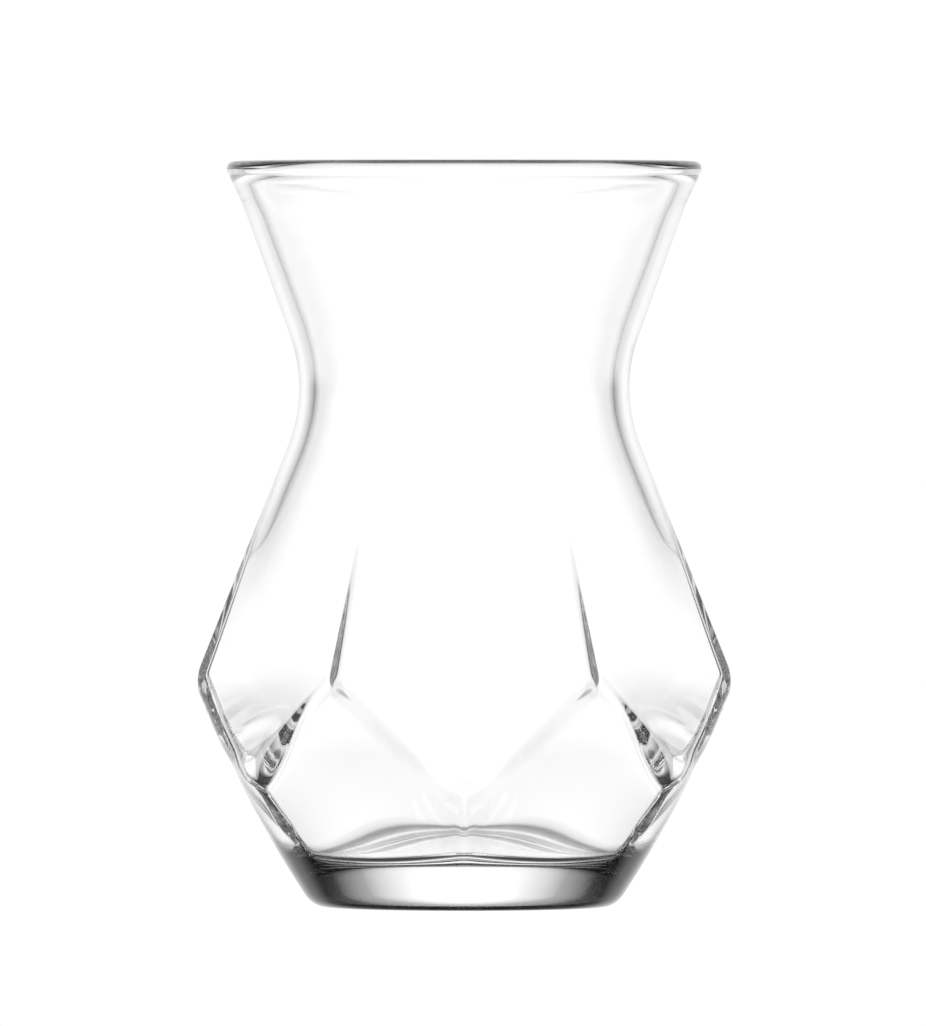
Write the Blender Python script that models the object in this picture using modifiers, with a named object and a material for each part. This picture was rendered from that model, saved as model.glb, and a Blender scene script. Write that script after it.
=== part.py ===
"""A waisted Turkish tea glass with a beaded rim, a faceted belly and a thick round foot.

The glass is one solid, turned from one outline and then pulled in along its facets. Metres, +Z up, with the
origin at the centre of the foot. Azimuth 0 is the -Y side, where one long facet faces.
"""

import math

import bmesh
import bpy

# Whole glass
HEIGHT = 0.09443
SIDES = 60

# Rim: a rounded bead above a slight flare of the outer wall
RIM_RADIUS = 0.02904
RIM_BEAD = 0.00107
RIM_ARC = (-50.0, 184.0)
RIM_POINTS = 9
LIP_FLARE = 0.0004
LIP_SPAN = (0.0905, 0.0921)

# Waist: each wall is two cones, joined by a soft hollow
OUTER_WAIST_Z = 0.06527
OUTER_WAIST_RADIUS = 0.01960
OUTER_FLARE = 0.360
OUTER_WIDENING = 0.397
OUTER_HOLLOW = 0.00536
INNER_WAIST_Z = 0.06559
INNER_WAIST_RADIUS = 0.01737
INNER_FLARE = 0.375
INNER_WIDENING = 0.400
INNER_HOLLOW = 0.0064

# Belly: six long facets start below the waist, widen to the corners and end in a V between six lower facets
FACETS = 6
FACET_TOP_Z = 0.05047
BELLY_Z = 0.0284
FACET_SLOPE = 0.190
LOWER_SLOPE = 0.450
TAPER_SLOPE = 0.645
TAPER_Z = 0.0115
FADE_SPAN = (0.0080, 0.0240)

# Inside of the belly, which follows the facets with thicker glass towards the floor
INNER_FACET_SLOPE = 0.198
INNER_V_RADIUS = 0.0281
INNER_BELLY_Z = 0.0292
INNER_TURN_SLOPE = 0.400
INNER_LOWER_RADIUS = 0.0282
INNER_LOWER_Z = 0.0211
INNER_LOWER_SLOPE = 0.700
INNER_FADE_SPAN = (-0.0300, 0.0190)

# Softness of the corners between the facets, as the width over which two faces blend
START_BLEND = 0.0008
CORNER_BLEND = 0.0005
INNER_CORNER_BLEND = 0.0009
V_BLEND = 0.0020
INNER_V_BLEND = 0.0006
STEM_BLEND = 0.0030
INNER_STEM_BLEND = 0.0006
TAPER_BLEND = 0.0018
BEND_BLEND = 0.0008

# Foot and floor
FOOT_TOP_Z = 0.00177
FOOT_FLAT_RADIUS = 0.0177
FOOT_RING_RADIUS = 0.0162
FOOT_HOLLOW = 0.0003
FOOT_STEPS = 4
FLOOR_Z = 0.0070
FLOOR_CORNER_Z = 0.0082
FLOOR_CORNER_STEPS = 4
FLOOR_FLAT_RADIUS = 0.0168

# Rows of the outline between its key heights
OUTER_ROWS = ((FOOT_TOP_Z, TAPER_Z, 5), (TAPER_Z, BELLY_Z, 9), (BELLY_Z, FACET_TOP_Z, 5), (FACET_TOP_Z, 0.0924, 10))
INNER_ROWS = (
    (0.0930, FACET_TOP_Z, 9),
    (FACET_TOP_Z, INNER_BELLY_Z, 5),
    (INNER_BELLY_Z, INNER_LOWER_Z, 5),
    (INNER_LOWER_Z, FLOOR_CORNER_Z, 7),
)

GLASS_COLOR = (0.96, 0.98, 0.98, 1.0)

FACET_ANGLE = 2 * math.pi / FACETS
FLAT_RATIO = math.cos(FACET_ANGLE / 2)


def soft_min(a, b, blend):
    """The smaller of two lengths, with the change from one to the other spread over the blend."""
    overlap = max(blend - abs(a - b), 0.0) / blend
    return min(a, b) - overlap * overlap * blend / 4


def soft_max(a, b, blend):
    return -soft_min(-a, -b, blend)


def mix(a, b, share):
    return a + (b - a) * share


def ease(z, low, high):
    """0 below the span and 1 above it, with a smooth change between."""
    share = min(max((z - low) / (high - low), 0.0), 1.0)
    return share * share * (3 - 2 * share)


def outer_round(z):
    """Radius of the outer wall as it would be with no facets."""
    above = OUTER_WAIST_RADIUS + OUTER_FLARE * (z - OUTER_WAIST_Z)
    below = OUTER_WAIST_RADIUS + OUTER_WIDENING * (OUTER_WAIST_Z - z)
    return soft_max(above, below, OUTER_HOLLOW) + LIP_FLARE * ease(z, *LIP_SPAN)


def inner_round(z):
    above = INNER_WAIST_RADIUS + INNER_FLARE * (z - INNER_WAIST_Z)
    below = INNER_WAIST_RADIUS + INNER_WIDENING * (INNER_WAIST_Z - z)
    return soft_max(above, below, INNER_HOLLOW)


def from_facet_middle(azimuth, first_middle):
    """Angle from the middle of the nearest facet, at most half a facet."""
    turned = (azimuth - first_middle + FACET_ANGLE / 2) % FACET_ANGLE
    return abs(turned - FACET_ANGLE / 2)


def polygon(corner_radius, azimuth, first_middle, blend):
    """Radius of a regular polygon with softened corners."""
    angle = from_facet_middle(azimuth, first_middle)
    flat = corner_radius * FLAT_RATIO
    return soft_min(flat / math.cos(angle), flat / math.cos(FACET_ANGLE - angle), blend)


def long_facets(round_radius, facet_radius, azimuth, blend):
    """A circle drawn in to the radius of the facets in their middles, and left whole at their corners."""
    share = (1 - facet_radius / round_radius) / (1 - FLAT_RATIO)
    return mix(round_radius, polygon(round_radius, azimuth, 0.0, blend), share)


def lower_facets(middle_radius, azimuth, z, fade_span, blend):
    """A six-sided wall whose corners lie between the long facets, turning into a circle on its way down."""
    share = ease(z, *fade_span)
    return mix(middle_radius, polygon(middle_radius / FLAT_RATIO, azimuth, FACET_ANGLE / 2, blend), share)


def outer_radius(azimuth, z):
    round_radius = outer_round(z)
    if z > OUTER_WAIST_Z:
        return round_radius
    facet_radius = outer_round(FACET_TOP_Z) + FACET_SLOPE * (FACET_TOP_Z - z)
    facet_radius = soft_min(round_radius, facet_radius, START_BLEND)
    upper = long_facets(round_radius, facet_radius, azimuth, CORNER_BLEND)
    belly_radius = outer_round(BELLY_Z)
    taper_radius = belly_radius - LOWER_SLOPE * (BELLY_Z - TAPER_Z)
    middle_radius = soft_min(
        belly_radius - LOWER_SLOPE * (BELLY_Z - z), taper_radius - TAPER_SLOPE * (TAPER_Z - z), TAPER_BLEND
    )
    return soft_min(upper, lower_facets(middle_radius, azimuth, z, FADE_SPAN, STEM_BLEND), V_BLEND)


def inner_radius(azimuth, z):
    round_radius = inner_round(z)
    if z > INNER_WAIST_Z:
        return round_radius
    facet_radius = inner_round(FACET_TOP_Z) + INNER_FACET_SLOPE * (FACET_TOP_Z - z)
    facet_radius = soft_min(round_radius, facet_radius, START_BLEND)
    facet_radius = soft_min(facet_radius, INNER_V_RADIUS, BEND_BLEND)
    upper = long_facets(round_radius, facet_radius, azimuth, INNER_CORNER_BLEND)
    turn_radius = inner_round(INNER_BELLY_Z) - INNER_TURN_SLOPE * (INNER_BELLY_Z - z)
    middle_radius = INNER_LOWER_RADIUS - INNER_LOWER_SLOPE * (INNER_LOWER_Z - z)
    middle_radius = soft_min(turn_radius, middle_radius, BEND_BLEND)
    lower = lower_facets(middle_radius, azimuth, z, INNER_FADE_SPAN, INNER_STEM_BLEND)
    return soft_min(upper, lower, INNER_V_BLEND)


def round_corner(start, corner, end, steps):
    """Points of a curve from start to end that leaves and arrives along the lines to the corner."""
    points = []
    for step in range(1, steps):
        t = step / steps
        points.append(
            tuple((1 - t) ** 2 * a + 2 * t * (1 - t) * b + t * t * c for a, b, c in zip(start, corner, end))
        )
    return points


def heights(spans):
    for low, high, count in spans:
        for step in range(count):
            yield mix(low, high, step / count)


def outline():
    """The (radius, z) points of the section, from the middle of the floor out over the rim to the foot."""
    azimuth = FACET_ANGLE / 2
    inner = [(inner_radius(azimuth, z), z) for z in heights(INNER_ROWS)]
    floor_top = (inner_radius(azimuth, FLOOR_CORNER_Z), FLOOR_CORNER_Z)
    corner = (floor_top[0] - INNER_LOWER_SLOPE * (FLOOR_CORNER_Z - FLOOR_Z), FLOOR_Z)
    floor_flat = (FLOOR_FLAT_RADIUS, FLOOR_Z)
    floor_turn = round_corner(floor_top, corner, floor_flat, FLOOR_CORNER_STEPS)
    rim = []
    for step in range(RIM_POINTS):
        angle = math.radians(mix(RIM_ARC[1], RIM_ARC[0], step / (RIM_POINTS - 1)))
        rim.append((RIM_RADIUS + RIM_BEAD * math.cos(angle), HEIGHT - RIM_BEAD + RIM_BEAD * math.sin(angle)))
    outer = [(outer_radius(azimuth, z), z) for z in heights(OUTER_ROWS)]
    foot_top = outer[0]
    foot_corner = (foot_top[0] - TAPER_SLOPE * FOOT_TOP_Z, 0.0)
    foot_flat = (FOOT_FLAT_RADIUS, 0.0)
    foot_turn = round_corner(foot_top, foot_corner, foot_flat, FOOT_STEPS)
    floor = [floor_top, *floor_turn, floor_flat, (FLOOR_FLAT_RADIUS / 2, FLOOR_Z), (0.0, FLOOR_Z)]
    under = [
        foot_flat,
        (FOOT_RING_RADIUS, 0.0),
        (FOOT_RING_RADIUS * 0.82, FOOT_HOLLOW * 0.6),
        (FOOT_RING_RADIUS * 0.45, FOOT_HOLLOW),
        (0.0, FOOT_HOLLOW),
    ]
    return floor[::-1] + inner[::-1] + rim + outer[::-1] + foot_turn + under


def turned(name, points):
    """A body turned about Z from an outline at +X that runs down its outer side."""
    mesh = bpy.data.meshes.new(name + "_outline")
    edges = [(index, index + 1) for index in range(len(points) - 1)]
    mesh.from_pydata([(radius, 0.0, z) for radius, z in points], edges, [])
    guide = bpy.data.objects.new(name + "_outline", mesh)
    bpy.context.scene.collection.objects.link(guide)
    screw = guide.modifiers.new("turn", "SCREW")
    screw.axis = "Z"
    screw.steps = SIDES
    screw.render_steps = SIDES
    screw.use_merge_vertices = True
    screw.merge_threshold = 0.00001
    body = bpy.data.meshes.new_from_object(guide.evaluated_get(bpy.context.evaluated_depsgraph_get()))
    body.name = name
    bpy.data.objects.remove(guide)
    return body


def pull_to_facets(mesh):
    """Moves each point of the two walls along its own radius, from the turned outline onto the facets."""
    outline_azimuth = FACET_ANGLE / 2
    floor_turn = inner_radius(outline_azimuth, FLOOR_CORNER_Z) - FLOOR_FLAT_RADIUS
    for vertex in mesh.vertices:
        x, y, z = vertex.co
        radius = math.hypot(x, y)
        if z > FACET_TOP_Z + START_BLEND / FACET_SLOPE or radius < FLOOR_FLAT_RADIUS or z < FOOT_TOP_Z / 2:
            continue
        azimuth = math.atan2(x, -y)
        outer_base = outer_radius(outline_azimuth, z)
        inner_base = inner_radius(outline_azimuth, z)
        on_outside = abs(radius - outer_base) < abs(radius - inner_base) or z < FLOOR_Z
        if on_outside:
            moved = outer_radius(azimuth, z) - outer_base
        else:
            moved = inner_radius(azimuth, z) - inner_base
            moved *= min((radius - FLOOR_FLAT_RADIUS) / floor_turn, 1.0)
        vertex.co.x = x * (1 + moved / radius)
        vertex.co.y = y * (1 + moved / radius)


def clear_glass():
    material = bpy.data.materials.new("clear_glass")
    material.use_nodes = True
    shader = material.node_tree.nodes["Principled BSDF"]
    shader.inputs["Base Color"].default_value = GLASS_COLOR
    shader.inputs["Metallic"].default_value = 0.0
    shader.inputs["Roughness"].default_value = 0.02
    shader.inputs["IOR"].default_value = 1.5
    shader.inputs["Transmission Weight"].default_value = 1.0
    material.diffuse_color = GLASS_COLOR
    return material


def make_glass(collection):
    mesh = turned("glass", outline())
    pull_to_facets(mesh)
    shape = bmesh.new()
    shape.from_mesh(mesh)
    bmesh.ops.recalc_face_normals(shape, faces=shape.faces)
    bmesh.ops.triangulate(shape, faces=shape.faces)
    shape.to_mesh(mesh)
    shape.free()
    mesh.shade_smooth()
    mesh.set_sharp_from_angle(angle=math.radians(35))
    mesh.materials.clear()
    mesh.materials.append(clear_glass())
    glass = bpy.data.objects.new("glass", mesh)
    collection.objects.link(glass)
    return glass


def main():
    for old in list(bpy.context.scene.objects):
        bpy.data.objects.remove(old)
    collection = bpy.data.collections.new("turkish_tea_glass")
    bpy.context.scene.collection.children.link(collection)
    make_glass(collection)


main()
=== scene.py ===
"""The looks of the tea glass, with the camera and light of the photograph.

Metres, +Z up, with the camera on the -Y side.
"""

import math

import bmesh
import bpy
import numpy as np
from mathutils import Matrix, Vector

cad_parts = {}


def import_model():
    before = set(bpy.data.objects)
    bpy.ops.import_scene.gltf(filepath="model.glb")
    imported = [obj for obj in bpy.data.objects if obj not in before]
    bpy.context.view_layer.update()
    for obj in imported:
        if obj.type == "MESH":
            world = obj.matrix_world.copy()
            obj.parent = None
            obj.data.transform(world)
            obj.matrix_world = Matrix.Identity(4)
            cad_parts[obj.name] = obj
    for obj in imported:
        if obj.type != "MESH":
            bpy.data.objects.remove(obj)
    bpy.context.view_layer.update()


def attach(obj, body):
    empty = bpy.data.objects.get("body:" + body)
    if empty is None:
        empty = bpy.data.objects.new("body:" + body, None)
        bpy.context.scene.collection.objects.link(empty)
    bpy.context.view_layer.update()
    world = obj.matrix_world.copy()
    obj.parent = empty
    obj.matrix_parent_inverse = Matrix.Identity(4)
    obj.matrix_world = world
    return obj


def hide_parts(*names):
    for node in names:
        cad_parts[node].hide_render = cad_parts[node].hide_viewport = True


# Whole glass
HEIGHT = 0.09443
FACETS = 6
FACET_ANGLE = 2 * math.pi / FACETS
FLAT_RATIO = math.cos(FACET_ANGLE / 2)

# Rim: a rounded bead above a slight flare of the outer wall
RIM_RADIUS = 0.02904
RIM_BEAD = 0.00107
RIM_ARC = (-50.0, 184.0)
LIP_FLARE = 0.0004
LIP_SPAN = (0.0880, 0.0930)

# Waist: each wall is two cones, joined by a soft hollow
OUTER_WAIST_Z = 0.06527
OUTER_WAIST_RADIUS = 0.01960
OUTER_FLARE = 0.360
OUTER_WIDENING = 0.397
OUTER_HOLLOW = 0.00536
INNER_WAIST_Z = 0.06559
INNER_WAIST_RADIUS = 0.01737
INNER_FLARE = 0.375
INNER_WIDENING = 0.400
INNER_HOLLOW = 0.0064

# Belly: six long facets widen to the corners and end in a V between six lower facets
FACET_TOP_Z = 0.05047
BELLY_Z = 0.0284
FACET_SLOPE = 0.190
LOWER_SLOPE = 0.450
TAPER_SLOPE = 0.645
TAPER_Z = 0.0115
FADE_SPAN = (0.0080, 0.0240)

# Inside of the belly, with thicker glass towards the floor
INNER_FACET_SLOPE = 0.198
INNER_V_RADIUS = 0.0281
INNER_BELLY_Z = 0.0292
INNER_TURN_SLOPE = 0.400
INNER_LOWER_RADIUS = 0.0282
INNER_LOWER_Z = 0.0211
INNER_LOWER_SLOPE = 0.700
INNER_FADE_SPAN = (-0.0300, 0.0190)

# Softness of the corners between the facets, as the width over which two faces blend
START_BLEND = 0.0008
CORNER_BLEND = 0.0001
INNER_CORNER_BLEND = 0.0010
V_BLEND = 0.0020
INNER_V_BLEND = 0.0006
STEM_BLEND = 0.0030
INNER_STEM_BLEND = 0.0006
TAPER_BLEND = 0.0018
BEND_BLEND = 0.0008

# Foot and floor. The slight hollow under the foot is flat in its middle and steepest at its ring
FOOT_TOP_Z = 0.00177
FOOT_FLAT_RADIUS = 0.0177
FOOT_RING_RADIUS = 0.0162
FOOT_HOLLOW = 0.0003
FOOT_HOLLOW_POWER = 4
FLOOR_Z = 0.0070
FLOOR_CORNER_Z = 0.0082
FLOOR_FLAT_RADIUS = 0.0168

# Fineness of the surface: steps round one facet, and how far they crowd together at its corners
FACET_STEPS = 60
CROWDING = 0.65

# Heights of the rows of points on each wall: from, to, step
OUTER_ROWS = (
    (0.0924, FACET_TOP_Z, 0.0010),
    (FACET_TOP_Z, 0.033, 0.0005),
    (0.033, FOOT_TOP_Z, 0.00028),
)
INNER_ROWS = (
    (0.0930, FACET_TOP_Z, 0.0010),
    (FACET_TOP_Z, 0.033, 0.0005),
    (0.033, FLOOR_CORNER_Z, 0.00028),
)

# Steps along the rest of the profile
FLOOR_STEPS = 12
FLOOR_TURN_STEPS = 14
RIM_STEPS = 32
FOOT_TURN_STEPS = 16
HOLLOW_STEPS = 20

# Clear glass with a very weak ripple: how fine, how strong and how deep the ripple is
GLASS_IOR = 1.5
RIPPLE_SCALE = 90.0
RIPPLE_DETAIL = 1.0
RIPPLE_STRENGTH = 0.06
RIPPLE_DEPTH = 0.0002

# Painted shade: the glass above its floor is darkened where it is seen along its surface, as (share of
# grazing, tone) steps
PAINTED_EDGE_SHADE = ((0.72, 1.0), (0.93, 0.0))

# Painted shade, darker on the thick foot towards its sides, on the outer wall: outside a line that leans
# with it, and fading out upwards over a span of heights
PAINTED_FOOT_SHADE = ((0.20, 1.0), (0.33, 0.2), (0.47, 0.015), (0.60, 0.004))
FOOT_SIDE_RADIUS = 0.0180
FOOT_SIDE_LEAN = 0.63
FOOT_SIDE_Z = (0.0060, 0.0100)

# Camera: the glass's axis stands a little right of the picture's middle
PIXEL = 0.0001265
PICTURE_WIDTH = 926
CAMERA_DISTANCE = 3.2
CAMERA_HEIGHT = 0.1028
AIM_Z = 0.0498
AXIS_OFFSET = 1.25
SENSOR_WIDTH = 36.0
CLIP_NEAR = 0.1
CLIP_FAR = 50.0

# Table top: half its width, just under the foot
TABLE_HALF = 6.0
TABLE_Z = -0.0002

# Brightness of the backdrop and the table as the camera sees them
BACKDROP = 1.02

# How often light may turn inside the glass
BOUNCES = 48

# Light round the glass: brightness against the angle away from the lit backdrop behind it, in degrees
SURROUND = (
    (0, 1.4),
    (8, 1.25),
    (14, 1.1),
    (20, 1.05),
    (25, 0.98),
    (28, 0.9),
    (32, 0.76),
    (37, 0.47),
    (43, 0.24),
    (50, 0.11),
    (60, 0.055),
    (75, 0.04),
    (160, 0.04),
    (166, 0.8),
    (180, 1.0),
)

# Strips of light above and below the horizon on either side: brightness against the same angle, times a
# share against the angle down from straight up
SIDE_STRIPS = (
    (0, 0.0),
    (30, 0.0),
    (36, 0.2),
    (42, 0.5),
    (50, 0.7),
    (60, 0.5),
    (75, 0.1),
    (82, 0.0),
    (180, 0.0),
)
STRIP_HEIGHTS = (
    (0, 0.0),
    (64, 0.0),
    (70, 0.28),
    (78, 0.28),
    (86, 0.15),
    (90, 0.2),
    (94, 1.0),
    (112, 1.0),
    (120, 0.0),
    (180, 0.0),
)

# A window of light straight out at either side: brightness against the angle from the X axis
SIDE_WINDOWS = (
    (0, 0.75),
    (8, 0.75),
    (14, 0.0),
    (180, 0.0),
)


def soft_min(a, b, blend):
    """The smaller of two lengths, with the change from one to the other spread over the blend."""
    overlap = np.maximum(blend - np.abs(a - b), 0.0) / blend
    return np.minimum(a, b) - overlap * overlap * blend / 4


def soft_max(a, b, blend):
    """The larger of two lengths, blended in the same way."""
    return -soft_min(-a, -b, blend)


def mix(a, b, share):
    """A value the given share of the way from a to b."""
    return a + (b - a) * share


def ease(z, low, high):
    """0 below the span and 1 above it, with a smooth change between."""
    share = min(max((z - low) / (high - low), 0.0), 1.0)
    return share * share * (3 - 2 * share)


def outer_round(z):
    """Radius of the outer wall as it would be with no facets."""
    above = OUTER_WAIST_RADIUS + OUTER_FLARE * (z - OUTER_WAIST_Z)
    below = OUTER_WAIST_RADIUS + OUTER_WIDENING * (OUTER_WAIST_Z - z)
    return soft_max(above, below, OUTER_HOLLOW) + LIP_FLARE * ease(z, *LIP_SPAN)


def inner_round(z):
    """Radius of the inner wall as it would be with no facets."""
    above = INNER_WAIST_RADIUS + INNER_FLARE * (z - INNER_WAIST_Z)
    below = INNER_WAIST_RADIUS + INNER_WIDENING * (INNER_WAIST_Z - z)
    return soft_max(above, below, INNER_HOLLOW)


def from_facet_middle(azimuth, first_middle):
    """Angle from the middle of the nearest facet, at most half a facet."""
    turned = np.mod(azimuth - first_middle + FACET_ANGLE / 2, FACET_ANGLE)
    return np.abs(turned - FACET_ANGLE / 2)


def polygon(corner_radius, azimuth, first_middle, blend):
    """Radius of a regular polygon with softened corners."""
    angle = from_facet_middle(azimuth, first_middle)
    flat = corner_radius * FLAT_RATIO
    return soft_min(flat / np.cos(angle), flat / np.cos(FACET_ANGLE - angle), blend)


def long_facets(round_radius, facet_radius, azimuth, blend):
    """A circle drawn in to the radius of the facets in their middles, and left whole at their corners."""
    share = (1 - facet_radius / round_radius) / (1 - FLAT_RATIO)
    return mix(round_radius, polygon(round_radius, azimuth, 0.0, blend), share)


def lower_facets(middle_radius, azimuth, z, fade_span, blend):
    """A six-sided wall whose corners lie between the long facets, turning into a circle on its way down."""
    share = ease(z, *fade_span)
    return mix(middle_radius, polygon(middle_radius / FLAT_RATIO, azimuth, FACET_ANGLE / 2, blend), share)


def outer_radius(azimuth, z):
    """Radius of the outer wall at a height, for each azimuth."""
    round_radius = outer_round(z)
    if z > OUTER_WAIST_Z:
        return round_radius + 0 * azimuth
    facet_radius = outer_round(FACET_TOP_Z) + FACET_SLOPE * (FACET_TOP_Z - z)
    facet_radius = soft_min(round_radius, facet_radius, START_BLEND)
    upper = long_facets(round_radius, facet_radius, azimuth, CORNER_BLEND)
    belly_radius = outer_round(BELLY_Z)
    lower_radius = belly_radius - LOWER_SLOPE * (BELLY_Z - z)
    taper_radius = belly_radius - LOWER_SLOPE * (BELLY_Z - TAPER_Z) - TAPER_SLOPE * (TAPER_Z - z)
    middle_radius = soft_min(lower_radius, taper_radius, TAPER_BLEND)
    lower = lower_facets(middle_radius, azimuth, z, FADE_SPAN, STEM_BLEND)
    return soft_min(upper, lower, V_BLEND)


def inner_radius(azimuth, z):
    """Radius of the inner wall at a height, for each azimuth."""
    round_radius = inner_round(z)
    if z > INNER_WAIST_Z:
        return round_radius + 0 * azimuth
    facet_radius = inner_round(FACET_TOP_Z) + INNER_FACET_SLOPE * (FACET_TOP_Z - z)
    facet_radius = soft_min(round_radius, facet_radius, START_BLEND)
    facet_radius = soft_min(facet_radius, INNER_V_RADIUS, BEND_BLEND)
    upper = long_facets(round_radius, facet_radius, azimuth, INNER_CORNER_BLEND)
    turn_radius = inner_round(INNER_BELLY_Z) - INNER_TURN_SLOPE * (INNER_BELLY_Z - z)
    floor_radius = INNER_LOWER_RADIUS - INNER_LOWER_SLOPE * (INNER_LOWER_Z - z)
    middle_radius = soft_min(turn_radius, floor_radius, BEND_BLEND)
    lower = lower_facets(middle_radius, azimuth, z, INNER_FADE_SPAN, INNER_STEM_BLEND)
    return soft_min(upper, lower, INNER_V_BLEND)


def azimuths():
    """Angles round the glass, closer together at the corners of the long facets."""
    steps = np.arange(FACETS * FACET_STEPS) / FACET_STEPS
    facet = np.floor(steps)
    across = 2 * (steps - facet) - 1
    crowded = mix(across, np.sin(across * math.pi / 2), CROWDING)
    return (facet + crowded / 2) * FACET_ANGLE


def spans(rows):
    """The heights of the rows, one after another, without the end of each span."""
    for start, end, step in rows:
        count = math.ceil(abs(end - start) / step)
        for index in range(count):
            yield mix(start, end, index / count)


def round_corner(start, corner, end, steps):
    """Rings of a curve from start to end that leaves and arrives along the lines to the corner."""
    rings = []
    for step in range(1, steps):
        gone = step / steps
        left = 1 - gone
        ends = zip(start, corner, end)
        rings.append(tuple(left ** 2 * a + 2 * gone * left * b + gone ** 2 * c for a, b, c in ends))
    return rings


def glass_rings():
    """(radii, height) of each ring of points, from the middle of the floor out over the rim to the foot."""
    angles = azimuths()
    whole = np.ones(len(angles))
    rings = []
    for step in range(1, FLOOR_STEPS + 1):
        rings.append((whole * FLOOR_FLAT_RADIUS * step / FLOOR_STEPS, FLOOR_Z))
    floor_edge = (whole * FLOOR_FLAT_RADIUS, FLOOR_Z)
    wall_radius = inner_radius(angles, FLOOR_CORNER_Z)
    wall_foot = (wall_radius, FLOOR_CORNER_Z)
    corner = (wall_radius - INNER_LOWER_SLOPE * (FLOOR_CORNER_Z - FLOOR_Z), FLOOR_Z)
    rings += round_corner(floor_edge, corner, wall_foot, FLOOR_TURN_STEPS)
    rings.append(wall_foot)
    rings += [(inner_radius(angles, z), z) for z in list(spans(INNER_ROWS))[::-1]]
    for step in range(RIM_STEPS + 1):
        angle = math.radians(mix(RIM_ARC[1], RIM_ARC[0], step / RIM_STEPS))
        radius = RIM_RADIUS + RIM_BEAD * math.cos(angle)
        rings.append((whole * radius, HEIGHT - RIM_BEAD + RIM_BEAD * math.sin(angle)))
    rings += [(outer_radius(angles, z), z) for z in spans(OUTER_ROWS)]
    top_radius = outer_radius(angles, FOOT_TOP_Z)
    foot_top = (top_radius, FOOT_TOP_Z)
    foot_corner = (top_radius - TAPER_SLOPE * FOOT_TOP_Z, 0.0)
    foot_flat = (whole * FOOT_FLAT_RADIUS, 0.0)
    rings.append(foot_top)
    rings += round_corner(foot_top, foot_corner, foot_flat, FOOT_TURN_STEPS)
    rings.append(foot_flat)
    rings.append((whole * (FOOT_FLAT_RADIUS + FOOT_RING_RADIUS) / 2, 0.0))
    for step in range(HOLLOW_STEPS):
        outwards = 1 - step / HOLLOW_STEPS
        height = FOOT_HOLLOW * (1 - outwards ** FOOT_HOLLOW_POWER)
        rings.append((whole * FOOT_RING_RADIUS * outwards, height))
    return angles, rings


def mesh_object(name, points, faces, material):
    """A smooth-shaded object of the given faces, with the outside of each facing outwards."""
    mesh = bpy.data.meshes.new(name)
    mesh.from_pydata(points, [], faces)
    shape = bmesh.new()
    shape.from_mesh(mesh)
    bmesh.ops.recalc_face_normals(shape, faces=shape.faces)
    shape.to_mesh(mesh)
    shape.free()
    mesh.shade_smooth()
    mesh.materials.append(material)
    made = bpy.data.objects.new(name, mesh)
    bpy.context.scene.collection.objects.link(made)
    return made


def make_glass():
    """The whole glass as one closed surface: a web between the rings, closed at floor and foot."""
    angles, rings = glass_rings()
    count = len(angles)
    across = np.sin(angles)
    towards = -np.cos(angles)
    points = [(0.0, 0.0, FLOOR_Z)]
    for radii, z in rings:
        points += [(x, y, z) for x, y in zip((radii * across).tolist(), (radii * towards).tolist())]
    points.append((0.0, 0.0, FOOT_HOLLOW))
    last = len(points) - 1
    faces = []
    for row in range(len(rings) - 1):
        low = 1 + row * count
        for column in range(count):
            following = (column + 1) % count
            faces.append((low + column, low + following, low + count + following, low + count + column))
    final = last - count
    for column in range(count):
        following = (column + 1) % count
        faces.append((0, 1 + column, 1 + following))
        faces.append((last, final + column, final + following))
    return mesh_object("glass_body", points, faces, clear_glass())


def math_node(tree, operation, first, second=0.0):
    """The result of one operation on two values, each a number or another node's result."""
    node = tree.nodes.new("ShaderNodeMath")
    node.operation = operation
    for value, socket in zip((first, second), node.inputs):
        if isinstance(value, bpy.types.NodeSocket):
            tree.links.new(value, socket)
        else:
            socket.default_value = value
    return node.outputs[0]


def ramp(tree, value, steps):
    """A grey looked up by a value, from (value, grey) steps. Values below 0 or above 1 are clipped."""
    grey = tree.nodes.new("ShaderNodeValToRGB")
    tree.links.new(value, grey.inputs[0])
    stops = grey.color_ramp.elements
    while len(stops) < len(steps):
        stops.new(1.0)
    for stop, (position, tone) in zip(stops, steps):
        stop.position = position
        stop.color = (tone, tone, tone, 1.0)
    return grey.outputs["Color"]


def foot_shade_mask(tree, parts):
    """Where shade is painted on the foot: 1 on the outer wall of the foot, fading to nothing above it and
    nothing on all other surfaces.
    """
    across = math_node(tree, "POWER", parts.outputs["X"], 2.0)
    along = math_node(tree, "POWER", parts.outputs["Y"], 2.0)
    radius = math_node(tree, "SQRT", math_node(tree, "ADD", across, along))
    lean = math_node(tree, "MULTIPLY", parts.outputs["Z"], FOOT_SIDE_LEAN)
    foot_radius = math_node(tree, "SUBTRACT", radius, lean)
    outside = math_node(tree, "GREATER_THAN", foot_radius, FOOT_SIDE_RADIUS)
    below = math_node(tree, "SUBTRACT", FOOT_SIDE_Z[1], parts.outputs["Z"])
    fade = math_node(tree, "DIVIDE", below, FOOT_SIDE_Z[1] - FOOT_SIDE_Z[0])
    return math_node(tree, "MULTIPLY", outside, math_node(tree, "MINIMUM", fade, 1.0))


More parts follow.
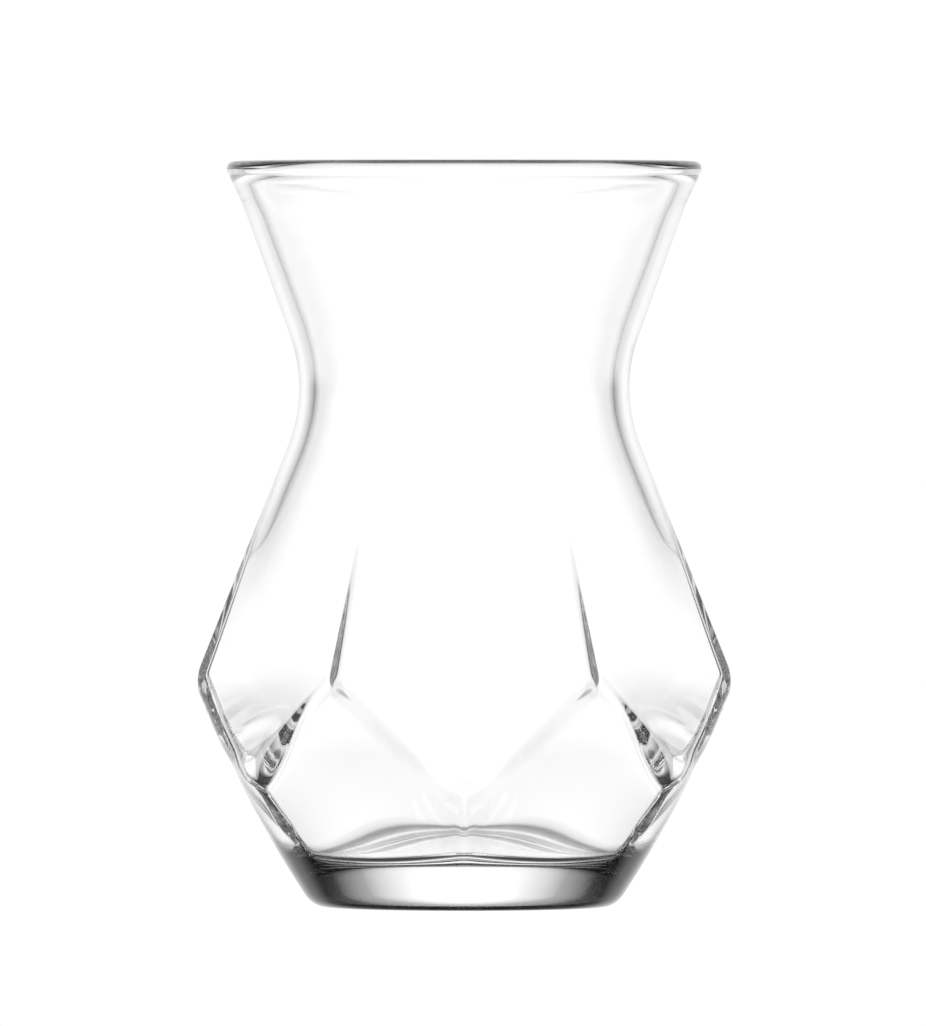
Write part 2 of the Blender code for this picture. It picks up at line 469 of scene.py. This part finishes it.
def clear_glass():
    """Clear glass with painted shade, darker where it is seen along its surface and on the sides of its
    foot, with a very weak ripple.
    """
    material = bpy.data.materials.new("clear_glass")
    material.use_nodes = True
    tree = material.node_tree
    shader = tree.nodes["Principled BSDF"]
    shader.inputs["IOR"].default_value = GLASS_IOR
    shader.inputs["Transmission Weight"].default_value = 1.0
    shader.inputs["Roughness"].default_value = 0.0
    place = tree.nodes.new("ShaderNodeTexCoord")
    parts = tree.nodes.new("ShaderNodeSeparateXYZ")
    tree.links.new(place.outputs["Object"], parts.inputs[0])
    grazing = tree.nodes.new("ShaderNodeLayerWeight")
    grazing.inputs["Blend"].default_value = 0.5
    above_floor = math_node(tree, "GREATER_THAN", parts.outputs["Z"], FLOOR_CORNER_Z)
    # Painted shade: the Base Color is darkened where the wall above the floor is seen edge-on
    edge_shade_share = math_node(tree, "MULTIPLY", grazing.outputs["Facing"], above_floor)
    # Painted shade on the sides of the foot, by the same edge-on share; both greys multiply the Base Color
    foot_shade_share = math_node(tree, "MULTIPLY", grazing.outputs["Facing"], foot_shade_mask(tree, parts))
    wall = ramp(tree, edge_shade_share, PAINTED_EDGE_SHADE)
    foot = ramp(tree, foot_shade_share, PAINTED_FOOT_SHADE)
    tree.links.new(math_node(tree, "MULTIPLY", wall, foot), shader.inputs["Base Color"])
    ripples = tree.nodes.new("ShaderNodeTexNoise")
    ripples.inputs["Scale"].default_value = RIPPLE_SCALE
    ripples.inputs["Detail"].default_value = RIPPLE_DETAIL
    tree.links.new(place.outputs["Object"], ripples.inputs["Vector"])
    bump = tree.nodes.new("ShaderNodeBump")
    bump.inputs["Strength"].default_value = RIPPLE_STRENGTH
    bump.inputs["Distance"].default_value = RIPPLE_DEPTH
    tree.links.new(ripples.outputs["Fac"], bump.inputs["Height"])
    tree.links.new(bump.outputs["Normal"], shader.inputs["Normal"])
    return material


def white_to_camera(tree, brightness, shader, socket):
    """Plain white where the camera looks straight at it, and the given brightness for all other light."""
    path = tree.nodes.new("ShaderNodeLightPath")
    choice = tree.nodes.new("ShaderNodeMix")
    choice.data_type = "RGBA"
    choice.inputs["B"].default_value = (BACKDROP, BACKDROP, BACKDROP, 1.0)
    tree.links.new(path.outputs["Is Camera Ray"], choice.inputs["Factor"])
    tree.links.new(brightness, choice.inputs["A"])
    tree.links.new(choice.outputs["Result"], shader.inputs[socket])


def brightness_ramp(tree, radians, steps):
    """Brightness looked up by an angle, from (degrees, brightness) steps up to 180 degrees."""
    share = math_node(tree, "MULTIPLY", radians, 1 / math.pi)
    return ramp(tree, share, [(degrees / 180, brightness) for degrees, brightness in steps])


def fade_round_glass(tree, direction):
    """Brightness by direction: the backdrop's fade, and strips and a window of light at either side."""
    unit = tree.nodes.new("ShaderNodeVectorMath")
    unit.operation = "NORMALIZE"
    tree.links.new(direction, unit.inputs[0])
    parts = tree.nodes.new("ShaderNodeSeparateXYZ")
    tree.links.new(unit.outputs[0], parts.inputs[0])
    away = math_node(tree, "ARCCOSINE", parts.outputs["Y"])
    lowered = math_node(tree, "ARCCOSINE", parts.outputs["Z"])
    beside = math_node(tree, "ARCCOSINE", math_node(tree, "ABSOLUTE", parts.outputs["X"]))
    across = brightness_ramp(tree, away, SIDE_STRIPS)
    strips = math_node(tree, "MULTIPLY", across, brightness_ramp(tree, lowered, STRIP_HEIGHTS))
    sides = math_node(tree, "ADD", strips, brightness_ramp(tree, beside, SIDE_WINDOWS))
    return math_node(tree, "ADD", brightness_ramp(tree, away, SURROUND), sides)


def make_surround():
    """The soft light round the glass: a lit backdrop behind it, a room that is dark apart from the strips
    and windows at its sides, and a soft light behind the camera.
    """
    world = bpy.data.worlds.new("studio")
    bpy.context.scene.world = world
    world.use_nodes = True
    tree = world.node_tree
    place = tree.nodes.new("ShaderNodeTexCoord")
    fade = fade_round_glass(tree, place.outputs["Generated"])
    white_to_camera(tree, fade, tree.nodes["Background"], "Color")


def make_floor():
    """The pale table top. The glass itself sees only the surround, which goes on below it."""
    material = bpy.data.materials.new("table_white")
    material.use_nodes = True
    tree = material.node_tree
    tree.nodes.clear()
    output = tree.nodes.new("ShaderNodeOutputMaterial")
    glow = tree.nodes.new("ShaderNodeEmission")
    glow.inputs["Color"].default_value = (BACKDROP, BACKDROP, BACKDROP, 1.0)
    tree.links.new(glow.outputs[0], output.inputs["Surface"])
    sides = ((-1, -1), (1, -1), (1, 1), (-1, 1))
    corners = [(x * TABLE_HALF, y * TABLE_HALF, TABLE_Z) for x, y in sides]
    floor = mesh_object("table_top", corners, [(0, 1, 2, 3)], material)
    floor.visible_transmission = False
    floor.visible_glossy = False
    floor.visible_diffuse = False
    return floor


def make_camera():
    """A long lens a little above the glass, aimed at its middle and framed as the photograph is."""
    data = bpy.data.cameras.new("camera")
    camera = bpy.data.objects.new("camera", data)
    bpy.context.scene.collection.objects.link(camera)
    bpy.context.scene.camera = camera
    camera.location = (0.0, -CAMERA_DISTANCE, CAMERA_HEIGHT)
    line = Vector((0.0, 0.0, AIM_Z)) - camera.location
    camera.rotation_euler = line.to_track_quat("-Z", "Y").to_euler()
    data.sensor_fit = "HORIZONTAL"
    data.sensor_width = SENSOR_WIDTH
    data.lens = SENSOR_WIDTH * line.length / (PICTURE_WIDTH * PIXEL)
    data.shift_x = -AXIS_OFFSET / PICTURE_WIDTH
    data.clip_start = CLIP_NEAR
    data.clip_end = CLIP_FAR


def main():
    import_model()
    glass = make_glass()
    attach(glass, "root")
    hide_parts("glass")
    make_floor()
    make_surround()
    make_camera()
    scene = bpy.context.scene
    scene.view_settings.view_transform = "Standard"
    scene.cycles.use_denoising = True
    scene.cycles.max_bounces = BOUNCES
    scene.cycles.transmission_bounces = BOUNCES
    scene.cycles.glossy_bounces = BOUNCES
    scene.cycles.caustics_reflective = False
    scene.cycles.caustics_refractive = False


if __name__ == "__main__":
    main()
